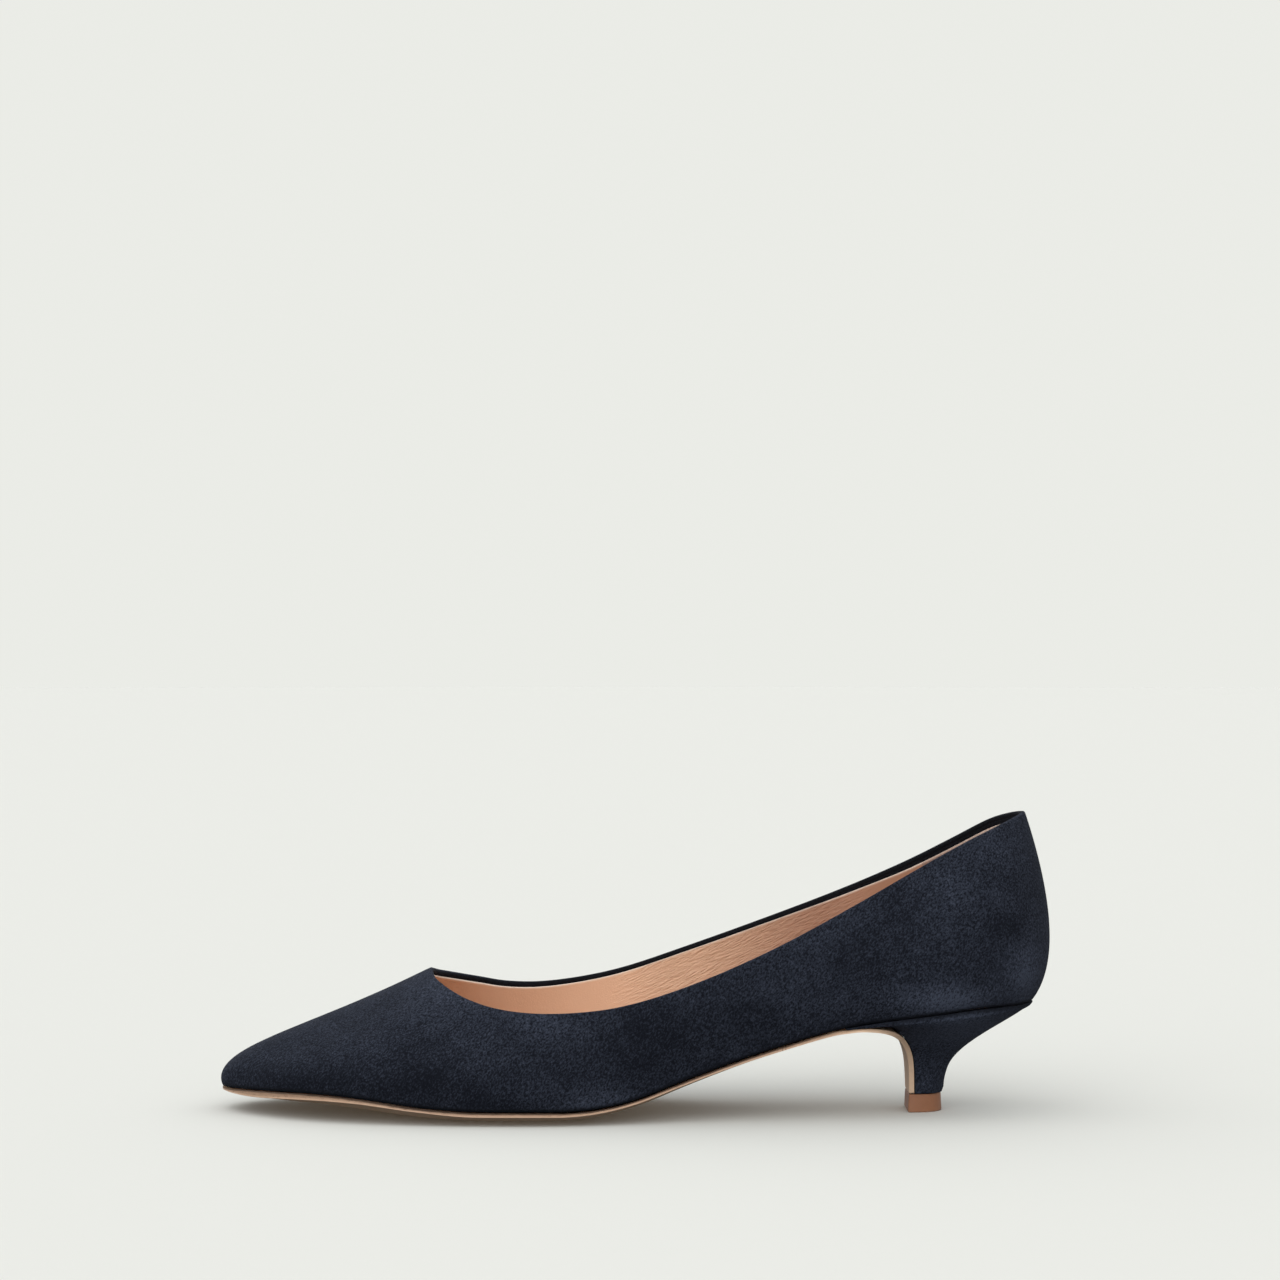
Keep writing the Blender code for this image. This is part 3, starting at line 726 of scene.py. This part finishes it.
# Painted shade: the top of the sole's edge is darkened just below the feather line, where the
# upper overhangs it.
painted_crevice_shade = 1.0 - oak.distance("from_feather").rise(0.35, 0.8)
edge_colour = oak.mix(painted_crevice_shade * 0.85, edge_colour, OAK_PAINTED_FEATHER_SHADE)
sole_colour = oak.mix(edge.clamp(), tread_colour, edge_colour)
nicks = (x.bell(45.9, 0.16) + x.bell(46.9, 0.13)) * edge
sole_colour = oak.mix(nicks.clamp() * 0.6, sole_colour, OAK_NICK)
# Painted light: the flap down the heel's breast is painted lighter where it stands in shade
# under the seat.
sole_colour = oak.mix(x.rise(58.0, 72.0) * 0.62, sole_colour, OAK_FLAP_PAINTED_LIGHT)
scuffs = oak.noise(2.2, 3, 0.7).rise(0.16, 0.26) * (1.0 - edge) * x.bell(-35.0, 30.0)
oak.feed("Base Color", oak.mix(scuffs * 0.5, sole_colour, OAK_SCUFF))
relief = fibres * 0.6 + oak.noise(0.4, 2, 0.6) * 0.5 - flecks * groove * 0.6
oak.feed("Normal", oak.bump(relief, 0.0002, 0.7))
outsole.data.materials.append(oak.material)
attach(outsole, "root")
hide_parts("outsole")

# Heel
# Moulded heel block wrapped in the same suede, its cover drawn over the edges and glued under
# the seat. The cover's edge closes against the flap of the sole and stops over the top piece.
HEEL_ARRIS = math.radians(38)
HEEL_ROUNDING = 0.0004
HEEL_SHOULDER = 0.0005
HEEL_SHOULDER_DROP = 0.0013
HEEL_SHOULDER_HEIGHT = 0.0014
HEEL_NECK_Z = 0.0118
HEEL_NECK_HEIGHT = 0.0040
HEEL_FOOT_ROUNDING = 0.0006
HEEL_FOOT_HEIGHT = 0.0009
heel = quad_copy("heel", "suede_heel")
round_edges(heel, HEEL_ARRIS, HEEL_ROUNDING)
subdivide(heel)
smooth_shading(heel)
heel_points, heel_normals = points_and_normals(heel)
below_seat = nearest_distance(heel_points, feather)
store(heel, "from_feather", below_seat)
below_shoulder = (below_seat - HEEL_SHOULDER_DROP) / HEEL_SHOULDER_HEIGHT
over_neck = (heel_points[:, 2] - HEEL_NECK_Z) / HEEL_NECK_HEIGHT
over_foot = (heel_points[:, 2] - heel_points[:, 2].min()) / HEEL_FOOT_HEIGHT
shift = HEEL_SHOULDER * (np.exp(-(below_shoulder**2)) + np.exp(-(over_neck**2)))
shift *= np.clip(heel_normals[:, 0], 0, 1)
heel_points += heel_normals * shift[:, None]
foot_points = heel_points[over_foot < 1, 0]
foot_middle = (foot_points.min() + foot_points.max()) / 2
towards_back = (heel_points[:, 0] - foot_middle) / (foot_points.max() - foot_middle)
towards_back = np.clip(towards_back, 0, 1)
heel_points[:, 0] -= HEEL_FOOT_ROUNDING * towards_back * np.exp(-(over_foot**2))
move_points(heel, heel_points)
# Mostly painted light: the heel cover's spots and its tone are set lighter than the upper's
# suede, where the heel's downward faces stand in shade under the seat.
HEEL_NAP_AND_PAINTED_LIGHT_SPOTS = [(104, 29, 16, 7, 0.85), (88, 12, 6, 8, 0.04), (70, 29, 8, 3, -0.12)]
HEEL_TONE_WITH_PAINTED_LIGHT = 0.36
cover_finish, cover_colour, cover_mottling, cover_grain = suede(
    "navy_suede_heel_nap", HEEL_NAP_AND_PAINTED_LIGHT_SPOTS, HEEL_TONE_WITH_PAINTED_LIGHT
)
# Painted shade: the cover is darkened next to the seat, below the feather line, more towards the
# back.
painted_seat_shade = 1.0 - cover_finish.distance("from_feather").rise(0.6, 2.0)
cover_x, _, _ = cover_finish.axes()
painted_seat_shade = painted_seat_shade * (0.3 + cover_x.rise(72.0, 94.0) * 0.4)
cover_colour = cover_finish.mix(painted_seat_shade, cover_colour, SUEDE_PAINTED_SEAM_SHADE)
cover_finish.feed("Base Color", cover_colour)
relief = cover_grain + cover_mottling * 0.5
cover_finish.feed("Normal", cover_finish.bump(relief, NAP_HEIGHT, 0.9))
heel.data.materials.append(cover_finish.material)
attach(heel, "root")
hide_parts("heel")

# Top piece
# Hard brown rubber lift, cut to the foot of the heel and pinned on from below. Its sides are
# painted paler along the tread, a painted highlight on the lower arris.
LIFT_BROWN = [(0.285, 0.116, 0.056), (0.40, 0.178, 0.089)]
LIFT_PAINTED_HIGHLIGHT = (0.42, 0.24, 0.15)
top_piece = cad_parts["top_piece"]
rubber = Finish("brown_lift_rubber", 0.42, Specular_IOR_Level=0.45)
_, _, z = rubber.axes()
tint = rubber.noise(3, 3, 0.5) * 0.5 + rubber.noise(0.4, 2, 0.6) * 0.3 + 0.5
lift_colour = rubber.mix(tint.clamp(), *LIFT_BROWN)
# Painted highlight: the lift's sides are lighter in a thin band just above the tread.
painted_arris_highlight = (1.0 - z.rise(0.25, 0.7)) * 0.35
rubber.feed("Base Color", rubber.mix(painted_arris_highlight, lift_colour, LIFT_PAINTED_HIGHLIGHT))
rubber.feed("Normal", rubber.bump(rubber.noise(0.35, 2, 0.6), 0.0001, 0.5))
for slot in top_piece.material_slots:
    slot.material = rubber.material

# Floor, backdrop, lights and camera
# Pale studio paper under a plain backdrop of the same tone, with open light from above, one
# broad soft light from over the toe and one from beside the camera.
FLOOR_PAPER = [(0.822, 0.832, 0.791), (0.828, 0.838, 0.797)]
BACKDROP_LIGHT = (0.828, 0.838, 0.796)
FLOOR_RADIUS = 9
BACKDROP_RADIUS = 10
bpy.ops.mesh.primitive_circle_add(vertices=96, radius=FLOOR_RADIUS, fill_type="NGON")
floor = bpy.context.active_object
floor.name = "floor"
paper = Finish("pale_floor_paper", 1.0, Specular_IOR_Level=0.0)
grain = paper.noise(6, 2, 0.5) * 0.6 + 0.5
paper.feed("Base Color", paper.mix(grain, *FLOOR_PAPER))
floor.data.materials.append(paper.material)
floor.visible_diffuse = False
floor.visible_glossy = False

bpy.ops.mesh.primitive_uv_sphere_add(segments=48, ring_count=24, radius=BACKDROP_RADIUS)
backdrop = bpy.context.active_object
backdrop.name = "backdrop"
bpy.ops.object.shade_smooth()
glow = bpy.data.materials.new("backdrop_glow")
glow.use_nodes = True
glow.node_tree.nodes.remove(glow.node_tree.nodes["Principled BSDF"])
emission = glow.node_tree.nodes.new("ShaderNodeEmission")
emission.inputs["Color"].default_value = (*BACKDROP_LIGHT, 1)
surface = glow.node_tree.nodes["Material Output"].inputs["Surface"]
glow.node_tree.links.new(emission.outputs[0], surface)
backdrop.data.materials.append(glow)
backdrop.visible_diffuse = False
backdrop.visible_glossy = False
backdrop.visible_shadow = False
backdrop.visible_transmission = False

world = bpy.data.worlds.new("studio")
bpy.context.scene.world = world
world.use_nodes = True
sky = world.node_tree
direction = sky.nodes.new("ShaderNodeTexCoord")
split = sky.nodes.new("ShaderNodeSeparateXYZ")
height = sky.nodes.new("ShaderNodeMapRange")
SKY_BELOW = 0.10
SKY_ABOVE = 0.78
SKY_EDGE = 0.25
height.inputs["From Min"].default_value = -SKY_EDGE
height.inputs["From Max"].default_value = SKY_EDGE
height.inputs["To Min"].default_value = SKY_BELOW
height.inputs["To Max"].default_value = SKY_ABOVE
sky.links.new(direction.outputs["Generated"], split.inputs[0])
sky.links.new(split.outputs["Z"], height.inputs["Value"])
sky.links.new(height.outputs[0], sky.nodes["Background"].inputs["Strength"])
sky.nodes["Background"].inputs["Color"].default_value = (1.0, 1.0, 1.0, 1)


def soft_light(name, towards, strength, spread):
    """A distant broad light that shines from a direction to the shoe."""
    lamp = bpy.data.lights.new(name, "SUN")
    lamp.energy = strength
    lamp.angle = math.radians(spread)
    lit = bpy.data.objects.new(name, lamp)
    bpy.context.scene.collection.objects.link(lit)
    lit.rotation_euler = Vector(towards).to_track_quat("Z", "Y").to_euler()


soft_light("key_light", (-0.50, -0.12, 1.0), 0.40, 50)
soft_light("front_fill", (-0.25, -1.0, 0.45), 0.95, 70)

CAMERA_PLACE = (0.00176, -1.0, 0.1494)
CAMERA_LENS = 88.3
CAMERA_SENSOR = 36
camera = bpy.data.objects.new("camera", bpy.data.cameras.new("camera"))
bpy.context.scene.collection.objects.link(camera)
camera.location = CAMERA_PLACE
camera.rotation_euler = (math.radians(90), 0, 0)
camera.data.lens = CAMERA_LENS
camera.data.sensor_width = CAMERA_SENSOR
camera.data.clip_start = 0.01
bpy.context.scene.camera = camera
bpy.context.scene.view_settings.view_transform = "Standard"
